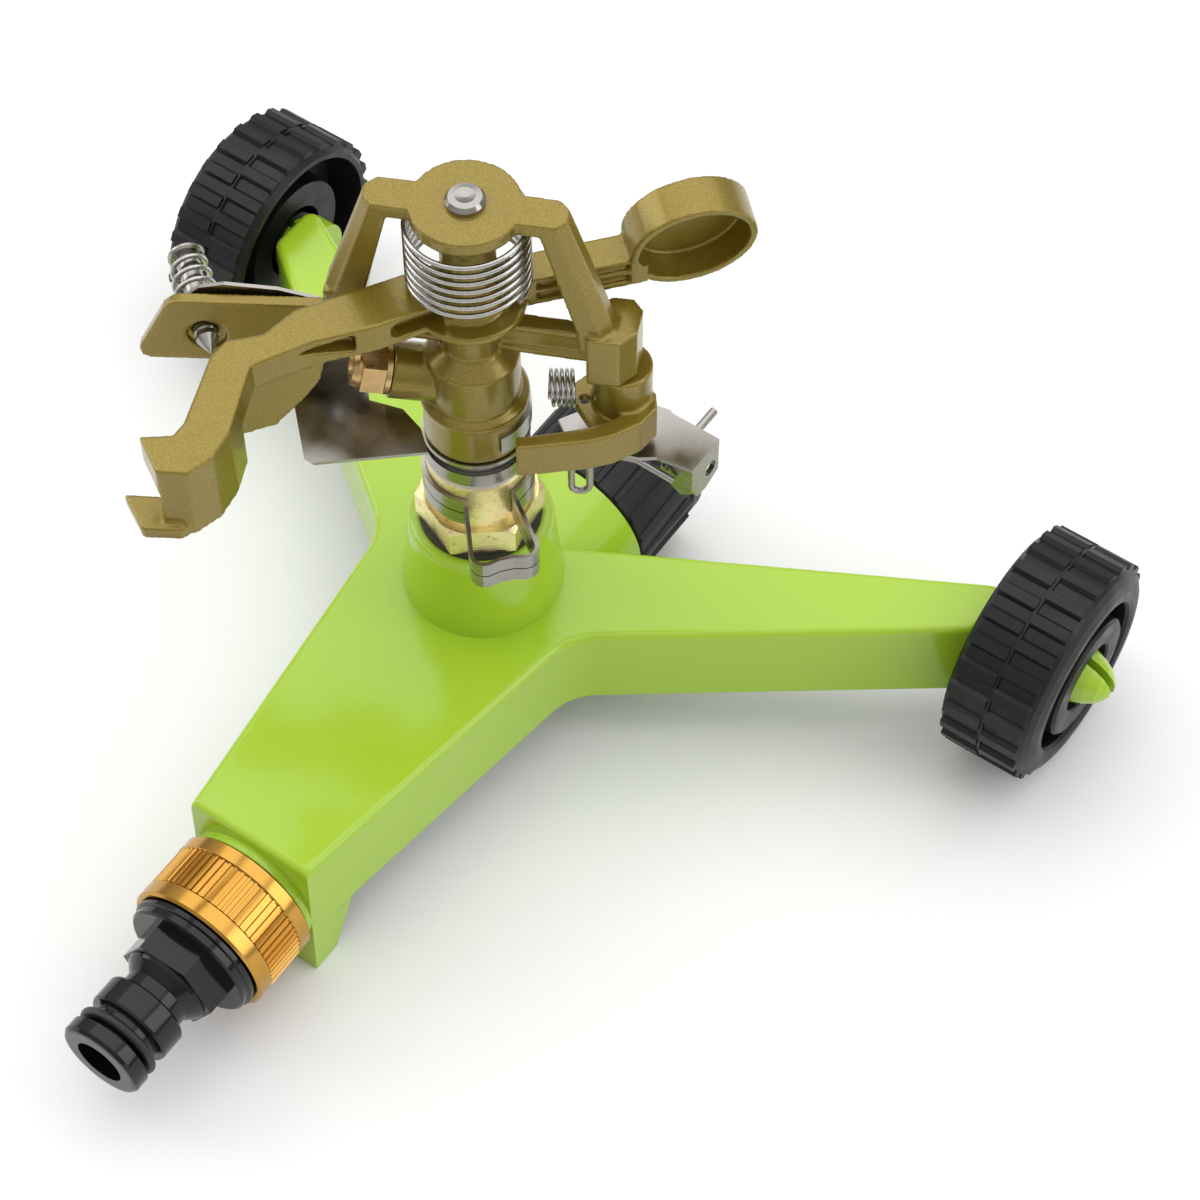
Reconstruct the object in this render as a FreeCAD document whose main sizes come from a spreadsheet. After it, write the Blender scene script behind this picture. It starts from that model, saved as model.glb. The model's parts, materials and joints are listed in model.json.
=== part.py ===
import FreeCAD, Part
import math
import os
import Sketcher

# Impulse lawn sprinkler on a two-wheeled base.
# +Z is up, the head turns about Z, the inlet points toward -Y and the wheels sit at +X and -X.
# Every piece is drawn about the head axis and then moved by head_y, so that the whole
# sprinkler stands centred on the origin with its wheels and foot on Z = 0.

Vector = FreeCAD.Vector
Rotation = FreeCAD.Rotation
Placement = FreeCAD.Placement

os.makedirs("parts", exist_ok=True)
doc = FreeCAD.newDocument("sprinkler")
sheet = doc.addObject("Spreadsheet::Sheet", "sizes")
nodes = []


class Size:
    """A number together with the spreadsheet formula it comes from."""

    def __init__(self, value, text):
        self.value = float(value)
        self.text = text

    def __add__(self, other):
        other = as_size(other)
        return Size(self.value + other.value, "(%s + %s)" % (self.text, other.text))

    def __sub__(self, other):
        other = as_size(other)
        return Size(self.value - other.value, "(%s - %s)" % (self.text, other.text))

    def __rsub__(self, other):
        return as_size(other) - self

    def __mul__(self, factor):
        return Size(self.value * factor, "(%s * %r)" % (self.text, float(factor)))

    def __truediv__(self, divisor):
        return Size(self.value / divisor, "(%s / %r)" % (self.text, float(divisor)))

    def __neg__(self):
        return self * -1

    __radd__ = __add__
    __rmul__ = __mul__


def as_size(number):
    if isinstance(number, Size):
        return number
    return Size(number, repr(float(number)))


def size(name, value):
    """Write one driving dimension in the sheet and return it."""
    row = len(sizes_written) + 1
    sizes_written.append(name)
    sheet.set("A%d" % row, name)
    sheet.set("B%d" % row, repr(value))
    sheet.setAlias("B%d" % row, name)
    return Size(value, "sizes.%s" % name)


sizes_written = []

# whole sprinkler
head_y = size("head_y", 22.6)
gap = size("gap", 0.3)

# base shell
top_z = size("top_z", 36.3)
skirt_z = size("skirt_z", 15.0)
shell_wall = size("shell_wall", 2.6)
inlet_end_y = size("inlet_end_y", -77.5)
inlet_half_width = size("inlet_half_width", 14.4)
throat_x = size("throat_x", 24.1)
throat_y = size("throat_y", -3.4)
leg_end_x = size("leg_end_x", 90.3)
leg_front_y = size("leg_front_y", 45.4)
leg_back_y = size("leg_back_y", 59.2)
crotch_y = size("crotch_y", 9.4)
boss_foot_radius = size("boss_foot_radius", 16.6)
boss_radius = size("boss_radius", 14.6)
boss_z = size("boss_z", 57.2)
pipe_z = size("pipe_z", 18.9)
stub_radius = size("stub_radius", 18.0)
stub_end_y = size("stub_end_y", 31.0)

# wheels and axles
axle_y = size("axle_y", 55.5)
axle_z = size("axle_z", 25.0)
axle_radius = size("axle_radius", 5.1)
axle_shoulder_x = size("axle_shoulder_x", 90.8)
barb_x = size("barb_x", 109.9)
axle_tip_x = size("axle_tip_x", 117.8)
wheel_x = size("wheel_x", 101.0)
wheel_radius = size("wheel_radius", 25.0)
wheel_half_width = size("wheel_half_width", 9.8)
hub_radius = size("hub_radius", 13.5)
hub_face = size("hub_face", 11.1)
lug_count = 26

# water pipe, inlet and rear cap
inlet_thread_radius = size("inlet_thread_radius", 12.2)
pipe_radius = size("pipe_radius", 10.0)
pipe_bore = size("pipe_bore", 7.5)
outlet_thread_radius = size("outlet_thread_radius", 13.2)
nut_radius = size("nut_radius", 15.6)
nut_back_y = size("nut_back_y", -79.7)
nut_front_y = size("nut_front_y", -95.9)
nose_tip_y = size("nose_tip_y", -125.7)
nose_radius = size("nose_radius", 9.16)
nose_bore = size("nose_bore", 5.27)
cap_radius = size("cap_radius", 18.5)
cap_end_y = size("cap_end_y", 55.0)

# bearing column
hex_z = size("hex_z", 58.4)
sleeve_z = size("sleeve_z", 65.0)
sleeve_top_z = size("sleeve_top_z", 78.0)
sleeve_radius = size("sleeve_radius", 10.2)
tube_radius = size("tube_radius", 6.5)
strip_thick = size("strip_thick", 0.8)
strip_height = size("strip_height", 3.4)
loop_reach = size("loop_reach", 25.6)
collar_low_z = size("collar_low_z", 67.4)

# head casting
head_z = size("head_z", 85.9)
skirt_radius = size("skirt_radius", 10.1)
body_radius = size("body_radius", 9.0)
neck_radius = size("neck_radius", 5.6)
neck_z = size("neck_z", 120.3)
yoke_z = size("yoke_z", 149.4)
yoke_thick = size("yoke_thick", 3.1)
yoke_disc_radius = size("yoke_disc_radius", 10.3)
yoke_width = size("yoke_width", 7.0)
rail_low_z = size("rail_low_z", 111.2)
rail_high_z = size("rail_high_z", 118.8)
pin_radius = size("pin_radius", 2.4)
trip_x = size("trip_x", 24.8)
trip_y = size("trip_y", 13.6)
trip_pin_radius = size("trip_pin_radius", 1.6)
wire_radius = size("wire_radius", 0.7)
wire_low_z = size("wire_low_z", 74.0)
wire_high_z = size("wire_high_z", 86.95)
screw_reach = size("screw_reach", 49.9)
plate_depth = size("plate_depth", 1.54)
plate_thick = size("plate_thick", 2.4)
leaf_depth = size("leaf_depth", 3.9)
screw_z = size("screw_z", 109.3)
screw_radius = size("screw_radius", 2.25)
leaf_stub_radius = size("leaf_stub_radius", 4.0)

# hammer arm
arm_low_z = size("arm_low_z", 121.6)
arm_high_z = size("arm_high_z", 128.4)
arm_hub_radius = size("arm_hub_radius", 10.6)
cup_reach = size("cup_reach", 41.7)
cup_radius = size("cup_radius", 12.1)
cup_depth = size("cup_depth", 7.8)
cup_z = size("cup_z", 129.7)
coil_radius = size("coil_radius", 11.2)

YOKE_ANGLE = 25.0
JET_ANGLE = 219.0
JET_RISE = 14.0
PLATE_ANGLE = 212.6
SCREW_ANGLE = 230.0
COUNTER_ANGLE = 50.0
CUP_TILT = 11.0
LOOP_ANGLE = -41.0


def bind(thing, prop, number):
    """Set a length on an object and tie it to its formula when it has one."""
    number = as_size(number)
    if "sizes." in number.text:
        thing.setExpression(prop, number.text)
    elif prop.startswith("."):
        raise ValueError("placement values are set directly")
    else:
        setattr(thing, prop, number.value)


def new_body(label):
    body = doc.addObject("PartDesign::Body", label)
    body.Label = label
    return body


def finish_node(thing, x=0.0, y=0.0, z=0.0, turn=None, name=None):
    """Stand a finished piece in the sprinkler frame and keep it for export."""
    x, y, z = as_size(x), as_size(y) + head_y, as_size(z)
    if name:
        thing.Label = name
    thing.Placement = Placement(Vector(x.value, y.value, z.value), turn or Rotation())
    thing.setExpression(".Placement.Base.x", x.text)
    thing.setExpression(".Placement.Base.y", y.text)
    thing.setExpression(".Placement.Base.z", z.text)
    nodes.append(thing)
    return thing


def new_sketch(body, name, plane, shift=(0.0, 0.0, 0.0), turn=None):
    """A sketch on one origin plane of its own body; shift and turn are in the plane's axes."""
    sketch = body.newObject("Sketcher::SketchObject", name)
    for origin_plane in body.Origin.OriginFeatures:
        if origin_plane.Role == plane + "_Plane":
            sketch.AttachmentSupport = [(origin_plane, "")]
    sketch.MapMode = "FlatFace"
    shift = [as_size(part) for part in shift]
    base = Vector(*[part.value for part in shift])
    sketch.AttachmentOffset = Placement(base, turn or Rotation())
    for axis, part in zip("xyz", shift):
        if "sizes." in part.text:
            sketch.setExpression(".AttachmentOffset.Base." + axis, part.text)
    return sketch


def hold(sketch, kind, geometry, end, number):
    """Fix one coordinate of a point, or a radius, to its size."""
    number = as_size(number)
    if kind == "Radius":
        index = sketch.addConstraint(Sketcher.Constraint("Radius", geometry, number.value))
    elif number.value == 0.0:
        axis = -2 if kind == "DistanceX" else -1
        sketch.addConstraint(Sketcher.Constraint("PointOnObject", geometry, end, axis))
        return
    else:
        rule = Sketcher.Constraint(kind, -1, 1, geometry, end, number.value)
        index = sketch.addConstraint(rule)
    if "sizes." in number.text:
        sketch.setExpression("Constraints[%d]" % index, number.text)


def outline(sketch, corners):
    """Closed outline of straight sides through the given corners."""
    start = sketch.GeometryCount
    points = [Vector(as_size(x).value, as_size(y).value, 0) for x, y in corners]
    count = len(points)
    for i in range(count):
        sketch.addGeometry(Part.LineSegment(points[i], points[(i + 1) % count]), False)
    for i in range(count):
        join = Sketcher.Constraint("Coincident", start + i, 2, start + (i + 1) % count, 1)
        sketch.addConstraint(join)
    for i, (x, y) in enumerate(corners):
        hold(sketch, "DistanceX", start + i, 1, x)
        hold(sketch, "DistanceY", start + i, 1, y)


def circle(sketch, x, y, radius):
    centre = Vector(as_size(x).value, as_size(y).value, 0)
    ring = Part.Circle(centre, Vector(0, 0, 1), as_size(radius).value)
    index = sketch.addGeometry(ring, False)
    hold(sketch, "DistanceX", index, 3, x)
    hold(sketch, "DistanceY", index, 3, y)
    hold(sketch, "Radius", index, 0, radius)


def box_corners(x1, y1, x2, y2):
    return [(x1, y1), (x2, y1), (x2, y2), (x1, y2)]


def add(body, kind, name, sketch, length=None, both=False, back=False):
    """Pad or Pocket of a sketch."""
    feature = body.newObject("PartDesign::" + kind, name)
    feature.Profile = sketch
    if both:
        feature.SideType = "Symmetric"
    feature.Reversed = back
    bind(feature, "Length", length)
    return feature


def spin(body, kind, name, sketch, axis="V_Axis"):
    """Revolution or Groove of a sketch about one of its own axes."""
    feature = body.newObject("PartDesign::" + kind, name)
    feature.Profile = sketch
    feature.ReferenceAxis = (sketch, [axis])
    feature.Angle = 360
    return feature


def ring_pattern(body, name, originals, sketch, count):
    """Repeat features about the normal of a sketch."""
    pattern = body.newObject("PartDesign::PolarPattern", name)
    pattern.Originals = originals
    pattern.Axis = (sketch, ["N_Axis"])
    pattern.Angle = 360
    pattern.Occurrences = count
    body.Tip = pattern
    return pattern


def turned(label, corners):
    """A body turned about its own Z axis from an outline of (radius, height) corners."""
    body = new_body(label)
    sketch = new_sketch(body, label + "_profile", "XZ")
    outline(sketch, corners)
    spin(body, "Revolution", label + "_turn", sketch)
    return body


def washer(label, bore, radius, low, high):
    return finish_node(turned(label, box_corners(bore, low, radius, high)))


def round_edges(body, name, radius, wanted):
    """Fillet the edges of the body's tip that the test accepts."""
    doc.recompute()
    tip = body.Tip
    names = []
    for i, edge in enumerate(tip.Shape.Edges):
        if wanted(edge):
            names.append("Edge%d" % (i + 1))
    fillet = body.newObject("PartDesign::Fillet", name)
    fillet.Base = (tip, names)
    fillet.Radius = radius
    doc.recompute()
    if not names or fillet.State and "Invalid" in fillet.State:
        print("no fillet", name, len(names))
        body.removeObject(fillet)
        doc.removeObject(fillet.Name)
        body.Tip = tip
    return body.Tip


def ends(edge):
    return [vertex.Point for vertex in edge.Vertexes]


def is_upright(edge, x, y, reach=0.6):
    """True for an edge parallel to Z that passes near (x, y)."""
    points = ends(edge)
    if len(points) < 2:
        return False
    for point in points:
        if math.hypot(point.x - x, point.y - y) > reach:
            return False
    return abs(points[0].z - points[1].z) > 0.5


def is_level(edge, z, reach=0.05):
    box = edge.BoundBox
    return abs(box.ZMin - z) < reach and abs(box.ZMax - z) < reach


# ---------------------------------------------------------------- base

def base_outline(inset):
    """Plan of the three-legged shell, drawn inward by inset."""
    side = inset * 1.05
    right = [
        (inlet_half_width - side, inlet_end_y + inset),
        (throat_x - side, throat_y + inset * 0.6),
        (leg_end_x - inset, leg_front_y + side * 0.5),
        (leg_end_x - inset, leg_back_y - side),
        (0.0, crotch_y - side * 1.2),
    ]
    left = [(-as_size(x), y) for x, y in reversed(right[:-1])]
    return right + left


def make_base():
    body = new_body("base_body")
    plan = new_sketch(body, "shell_plan", "XY", (0, 0, skirt_z))
    outline(plan, base_outline(Size(0.0, "0.0")))
    add(body, "Pad", "shell", plan, top_z - skirt_z)
    for side in (-1, 1):
        round_edges(body, "throat_%d" % (side + 1), 13.0,
                    lambda e: is_upright(e, side * throat_x.value, throat_y.value))
    round_edges(body, "leg_ends", 2.5, lambda e: any(
        is_upright(e, math.copysign(leg_end_x.value, e.CenterOfMass.x), y.value)
        for y in (leg_front_y, leg_back_y)))

    stub = new_sketch(body, "stub_circle", "XZ", (0, 0, 0))
    circle(stub, 0.0, pipe_z, stub_radius)
    add(body, "Pad", "stub", stub, stub_end_y, back=True)

    foot = new_sketch(body, "foot_side", "YZ")
    outline(foot, [(inlet_end_y, top_z), (inlet_end_y - 0.9, 0.0), (inlet_end_y + 5.6, 0.0),
                   (inlet_end_y + 14.0, skirt_z), (inlet_end_y + 14.0, top_z)])
    add(body, "Pad", "foot", foot, inlet_half_width * 2, both=True)

    collar = new_sketch(body, "inlet_collar_circle", "XZ", (0, 0, 79.4))
    circle(collar, 0.0, pipe_z, 14.4)
    add(body, "Pad", "inlet_collar", collar, 3.0, back=True)

    boss = new_sketch(body, "boss_profile", "XZ")
    outline(boss, [(0.0, 30.0), (boss_foot_radius, 30.0), (boss_foot_radius, top_z),
                   (boss_radius, boss_z), (0.0, boss_z)])
    spin(body, "Revolution", "boss", boss)
    round_edges(body, "boss_rim", 1.8, lambda e: is_level(e, boss_z.value))
    round_edges(body, "top_rim", 1.6, lambda e: is_level(e, top_z.value)
                and math.hypot(e.CenterOfMass.x, e.CenterOfMass.y) > 26.0)
    hollow_base(body)
    add_axles(body)
    finish_node(body)


def hollow_base(body):
    inside = new_sketch(body, "inside_plan", "XY", (0, 0, -1.0))
    outline(inside, base_outline(shell_wall))
    add(body, "Pocket", "inside", inside, top_z - shell_wall + 1.0, back=True)
    stub_bore = new_sketch(body, "stub_bore_circle", "XZ", (0, 0, -stub_end_y))
    circle(stub_bore, 0.0, pipe_z, outlet_thread_radius + gap)
    add(body, "Pocket", "stub_bore", stub_bore, stub_end_y, back=True)
    inlet_bore = new_sketch(body, "inlet_bore_circle", "XZ", (0, 0, 80.0))
    circle(inlet_bore, 0.0, pipe_z, inlet_thread_radius + gap)
    add(body, "Pocket", "inlet_bore", inlet_bore, 20.0)
    boss_bore = new_sketch(body, "boss_bore_circle", "XY", (0, 0, boss_z))
    circle(boss_bore, 0.0, 0.0, 11.1)
    add(body, "Pocket", "boss_bore", boss_bore, 40.0)


def add_axles(body):
    """Split snap axles that carry the wheels."""
    profile = new_sketch(body, "axle_profile", "XZ", (0, axle_z, -axle_y))
    outline(profile, [(86.0, 0.0), (86.0, 7.4), (axle_shoulder_x, 7.4),
                      (axle_shoulder_x, axle_radius), (barb_x, axle_radius),
                      (barb_x, axle_radius + 1.1), (barb_x + 1.1, axle_radius + 1.0),
                      (barb_x + 3.6, 5.2), (barb_x + 5.8, 4.0), (axle_tip_x - 0.8, 2.7),
                      (axle_tip_x, 1.4), (axle_tip_x, 0.0)])
    axle = spin(body, "Revolution", "axle", profile, "H_Axis")
    slot = new_sketch(body, "axle_slot_plan", "XY", (0, axle_y, axle_z))
    outline(slot, box_corners(92.4, -0.9, axle_tip_x + 1.0, 0.9))
    slot_cut = add(body, "Pocket", "axle_slot", slot, 20.0, both=True)
    mirror = body.newObject("PartDesign::Mirrored", "left_axle")
    mirror.Originals = [axle, slot_cut]
    for origin_plane in body.Origin.OriginFeatures:
        if origin_plane.Role == "YZ_Plane":
            mirror.MirrorPlane = (origin_plane, [""])
    body.Tip = mirror


def make_manifold():
    """Water pipe inside the base: threaded inlet, rear outlet and upright socket."""
    body = new_body("water_manifold")
    run = new_sketch(body, "pipe_profile", "YZ", (0, pipe_z, 0))
    outline(run, [(-91.0, 0.0), (-91.0, inlet_thread_radius - 1.0), (-90.0, inlet_thread_radius),
                  (-74.0, inlet_thread_radius), (-74.0, pipe_radius), (4.0, pipe_radius),
                  (14.0, outlet_thread_radius), (50.0, outlet_thread_radius), (50.0, 0.0)])
    spin(body, "Revolution", "pipe", run, "H_Axis")
    riser = new_sketch(body, "riser_profile", "XZ")
    outline(riser, box_corners(0.0, pipe_z, 10.8, boss_z - 0.3))
    spin(body, "Revolution", "riser", riser)
    inner = new_sketch(body, "pipe_bore_profile", "YZ", (0, pipe_z, 0))
    outline(inner, [(-92.0, 0.0), (-92.0, pipe_bore), (12.0, pipe_bore),
                    (20.0, pipe_bore + 2.6), (51.0, pipe_bore + 2.6), (51.0, 0.0)])
    spin(body, "Groove", "pipe_bore_cut", inner, "H_Axis")
    socket = new_sketch(body, "socket_profile", "XZ")
    outline(socket, box_corners(0.0, pipe_z, 8.9, boss_z + 1.0))
    spin(body, "Groove", "socket", socket)
    finish_node(body)


def make_wheel(label, side):
    """Tread with two staggered rows of lugs, deep side grooves and a raised hub."""
    body = new_body(label)
    rim = wheel_radius - 1.0
    half = wheel_half_width
    profile = new_sketch(body, label + "_profile", "XZ")
    outline(profile, [
        (axle_radius + 0.08, -7.0), (6.6, -7.0), (6.6, -2.0), (8.6, -2.0), (8.6, -7.6),
        (14.6, -7.6), (15.4, -1.0), (20.4, -1.0), (21.4, -half), (rim - 1.4, -half),
        (rim, 1.4 - half), (rim, -0.5), (rim + 0.5, -0.35), (rim + 0.5, 0.35), (rim, 0.5),
        (rim, half - 1.4), (rim - 0.6, half - 0.5), (rim - 2.0, half + 0.4), (20.0, half + 1.1),
        (18.4, half + 1.2), (17.4, half + 0.8), (17.0, half), (16.6, 1.2), (hub_radius + 0.6, 1.2),
        (hub_radius, hub_face - 0.6), (hub_radius - 0.6, hub_face), (8.2, hub_face),
        (7.8, hub_face - 0.4), (7.6, 8.4), (axle_radius + 0.08, 8.4)])
    spin(body, "Revolution", label + "_turn", profile)
    for row, (low, high) in enumerate(((-8.8, -0.3), (0.3, 8.6))):
        lug = new_sketch(body, "%s_lug_%d" % (label, row), "XY", (0, 0, low),
                         Rotation(Vector(0, 0, 1), 180.0 * row / lug_count))
        outline(lug, [(22.6, -1.7), (rim, -1.7), (wheel_radius, -1.1),
                      (wheel_radius, 1.1), (rim, 1.7), (22.6, 1.7)])
        pad = add(body, "Pad", "%s_lug_pad_%d" % (label, row), lug, high - low)
        ring_pattern(body, "%s_lugs_%d" % (label, row), [pad], lug, lug_count)
    finish_node(body, wheel_x * side, axle_y, axle_z, Rotation(Vector(0, 1, 0), 90.0 * side))


# ---------------------------------------------------------------- inlet and rear cap

def along_y(back=False):
    """Turn a body's own Z axis onto -Y, or onto +Y."""
    return Rotation(Vector(1, 0, 0), -90.0 if back else 90.0)


def make_inlet_nut():
    """Knurled swivel nut; its own Z axis runs toward the inlet mouth."""
    length = nut_back_y - nut_front_y
    body = turned("inlet_nut", [
        (inlet_thread_radius + 0.1, 0.0), (nut_radius - 0.5, 0.0), (nut_radius, 0.5),
        (nut_radius, 3.2), (nut_radius - 0.5, 3.6), (nut_radius - 0.5, length - 4.0),
        (nut_radius, length - 3.6), (nut_radius, length - 0.5), (nut_radius - 0.5, length),
        (11.0, length), (11.0, length - 1.6), (inlet_thread_radius + 0.1, length - 1.6)])
    ridge = new_sketch(body, "knurl_ridge", "XY", (0, 0, 3.5))
    outline(ridge, [(nut_radius - 1.0, -0.55), (nut_radius - 0.1, -0.25),
                    (nut_radius - 0.1, 0.25), (nut_radius - 1.0, 0.55)])
    pad = add(body, "Pad", "knurl_pad", ridge, length - 7.4)
    ring_pattern(body, "knurl", [pad], ridge, 60)
    finish_node(body, 0.0, nut_back_y, pipe_z, along_y())


def make_nipple():
    """Hose nipple: flange held by the nut, hexagon, neck and quick-connector nose."""
    nose = nut_front_y - nose_tip_y
    body = turned("hose_nipple", [
        (nose_bore, -3.4), (inlet_thread_radius - 0.2, -3.4), (inlet_thread_radius - 0.2, -2.0),
        (10.7, -2.0), (10.7, 0.3), (14.4, 0.3), (14.4, 1.2), (13.8, 1.5), (13.8, 2.9), (13.3, 3.3),
        (9.2, 3.3), (9.2, 9.6), (8.9, 10.2), (7.0, 12.4), (7.0, 15.2), (8.6, 15.4), (8.9, 15.8),
        (8.9, 20.8), (8.6, 21.3), (7.0, 21.5), (7.0, 26.0), (8.7, 26.1), (nose_radius, 26.4),
        (nose_radius, nose - 0.8), (nose_radius - 0.6, nose - 0.1), (nose_radius - 1.2, nose),
        (nose_bore, nose)])
    flats = new_sketch(body, "hexagon_outline", "XY", (0, 0, 3.2))
    outline(flats, hexagon(9.5, 0.0))
    add(body, "Pad", "hexagon", flats, 6.2)
    hollow = new_sketch(body, "hexagon_bore", "XY", (0, 0, 3.0))
    circle(hollow, 0.0, 0.0, nose_bore)
    add(body, "Pocket", "hexagon_hole", hollow, 8.0, back=True)
    finish_node(body, 0.0, nut_front_y, pipe_z, along_y())


def hexagon(inscribed, turn):
    """Corners of a hexagon, given half the size across its flats."""
    reach = inscribed / math.cos(math.radians(30.0))
    corners = []
    for i in range(6):
        angle = math.radians(60.0 * i + turn)
        corners.append((reach * math.cos(angle), reach * math.sin(angle)))
    return corners


def ring_of_cord(label, ring_radius, cord_radius):
    """Round-section ring about the piece's own Z axis."""
    ring = doc.addObject("Part::Torus", label)
    bind(ring, "Radius1", ring_radius)
    bind(ring, "Radius2", cord_radius)
    return ring


def make_inlet():
    make_inlet_nut()
    make_nipple()
    seal = ring_of_cord("nipple_o_ring", 8.02, 1.0)
    finish_node(seal, 0.0, nut_front_y - 24.2, pipe_z, along_y())
    pad = turned("inlet_washer", box_corners(7.6, 0.0, 11.6, 1.2))
    finish_node(pad, 0.0, -91.15, pipe_z, along_y())


def make_end_cap():
    """Fluted screw cap that closes the rear outlet; its own Z axis runs toward +Y."""
    length = cap_end_y - stub_end_y
    inner = outlet_thread_radius + 0.1
    body = turned("end_cap", [
        (0.0, length - 3.4), (inner, length - 3.4), (inner, 0.3), (cap_radius - 1.0, 0.3),
        (cap_radius - 0.5, 0.8), (cap_radius - 1.1, length - 6.0), (cap_radius - 1.2, length - 4.2),
        (cap_radius - 0.6, length - 3.8), (cap_radius - 0.6, length - 0.8),
        (cap_radius - 1.4, length), (0.0, length)])
    flute = new_sketch(body, "cap_rib", "XY", (0, 0, 0.8))
    outline(flute, [(cap_radius - 2.0, -1.5), (cap_radius, -0.6),
                    (cap_radius, 0.6), (cap_radius - 2.0, 1.5)])
    pad = add(body, "Pad", "cap_rib_pad", flute, length - 6.0)
    ring_pattern(body, "cap_ribs", [pad], flute, 20)
    finish_node(body, 0.0, stub_end_y, pipe_z, along_y(back=True))
    seal = turned("end_cap_washer", box_corners(pipe_bore + 3.0, 0.0, outlet_thread_radius, 1.3))
    finish_node(seal, 0.0, 50.15, pipe_z, along_y(back=True))


# ---------------------------------------------------------------- bearing column

def make_bearing():
    washer("base_gasket", 8.95, 12.38, boss_z + 0.05, hex_z - 0.05)
    body = turned("bearing_nipple", [
        (tube_radius + 0.08, 47.0), (8.8, 47.0), (8.8, hex_z), (9.8, hex_z), (9.8, sleeve_z),
        (sleeve_radius, sleeve_z), (sleeve_radius, sleeve_top_z - 1.0),
        (sleeve_radius - 0.6, sleeve_top_z), (tube_radius + 0.08, sleeve_top_z)])
    flats = new_sketch(body, "hex_outline", "XY", (0, 0, hex_z))
    outline(flats, hexagon(11.2, -21.0))
    circle(flats, 0.0, 0.0, tube_radius + 0.08)
    add(body, "Pad", "hex", flats, sleeve_z - hex_z)
    corner = new_sketch(body, "hex_corner_cut", "XZ")
    outline(corner, [(11.6, sleeve_z + 0.1), (13.2, sleeve_z - 1.1), (14.0, sleeve_z + 0.1)])
    spin(body, "Groove", "hex_corners", corner)
    finish_node(body)
    finish_node(turned("pivot_tube", [
        (4.6, 43.6), (8.2, 43.6), (8.2, 46.6), (tube_radius, 46.6), (tube_radius, 99.0),
        (4.6, 99.0)]))
    bore = tube_radius + 0.3
    washer("lower_washer", bore, 10.3, sleeve_top_z + 0.1, 79.0)
    finish_node(turned("thrust_cup", [
        (bore, 79.1), (10.4, 79.1), (10.4, 82.4), (9.6, 82.4), (9.6, 80.0), (bore, 80.0)]))
    washer("seal_ring", bore, 8.6, 80.1, 84.6)
    washer("dust_cup", bore, 10.5, 84.7, 85.7)


def loop_corners(outward):
    """Plan of the finger loop: straight sides, rounded corners and a waved front."""
    bend = outward + 2.0
    side = [(7.0, outward + 4.4), (10.4, outward + 4.4)]
    for degrees in (97.0, 71.0, 45.0, 19.0, -7.0):
        turn = math.radians(degrees)
        side.append((loop_reach - 2.8 + bend * math.cos(turn), bend * math.sin(turn) + 4.0))
    side.append((loop_reach - 3.4 + bend, 1.4))
    return side + [(x, -as_size(y)) for x, y in reversed(side)]


def make_collar(label, low):
    """Spring-steel strip around the sleeve with a finger loop that trips the reverse."""
    body = new_body(label)
    outer = sleeve_radius + 0.08 + strip_thick
    ring = new_sketch(body, label + "_ring", "XY")
    circle(ring, 0.0, 0.0, outer)
    add(body, "Pad", label + "_ring_pad", ring, strip_height)
    loop = new_sketch(body, label + "_loop", "XY")
    outline(loop, loop_corners(strip_thick))
    add(body, "Pad", label + "_loop_pad", loop, strip_height)
    inner_loop = new_sketch(body, label + "_loop_inside", "XY", (0, 0, -1.0))
    outline(inner_loop, loop_corners(0.0))
    add(body, "Pocket", label + "_loop_cut", inner_loop, strip_height + 2.0, back=True)
    inner_ring = new_sketch(body, label + "_ring_inside", "XY", (0, 0, -1.0))
    circle(inner_ring, 0.0, 0.0, sleeve_radius + 0.08)
    add(body, "Pocket", label + "_ring_cut", inner_ring, strip_height + 2.0, back=True)
    finish_node(body, 0.0, 0.0, low, Rotation(Vector(0, 0, 1), LOOP_ANGLE))


# ---------------------------------------------------------------- head

def side_sketch(body, name, angle, depth=0.0):
    """Upright sketch through the head axis: first axis along angle, moved sideways by depth.

    Positive depth lies 90 degrees clockwise of the angle, seen from above.
    """
    across = (depth * math.sin(math.radians(angle)), 0.0, depth * math.cos(math.radians(angle)))
    return new_sketch(body, name, "XZ", across, Rotation(Vector(0, 1, 0), angle))


def nozzle_turn(angle, rise):
    """Turn of an XY sketch whose normal points along angle and climbs by rise degrees."""
    return Rotation(Vector(0, 0, 1), angle) * Rotation(Vector(0, 1, 0), 90.0 - rise)


def make_head():
    body = new_body("head_casting")
    profile = new_sketch(body, "head_profile", "XZ")
    outline(profile, [
        (0.0, head_z), (skirt_radius, head_z), (skirt_radius, 95.2), (skirt_radius + 0.5, 95.6),
        (skirt_radius + 0.5, 96.4), (skirt_radius - 0.3, 97.2), (body_radius, 97.6),
        (body_radius, 108.4), (6.8, 110.3), (neck_radius, 111.2), (neck_radius, neck_z), (0.0, neck_z)])
    spin(body, "Revolution", "head_turn", profile)
    add_yoke(body)
    add_trip_block(body)
    add_screw_plate(body)
    add_barrel(body)
    bore_head(body)
    finish_node(body)


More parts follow.
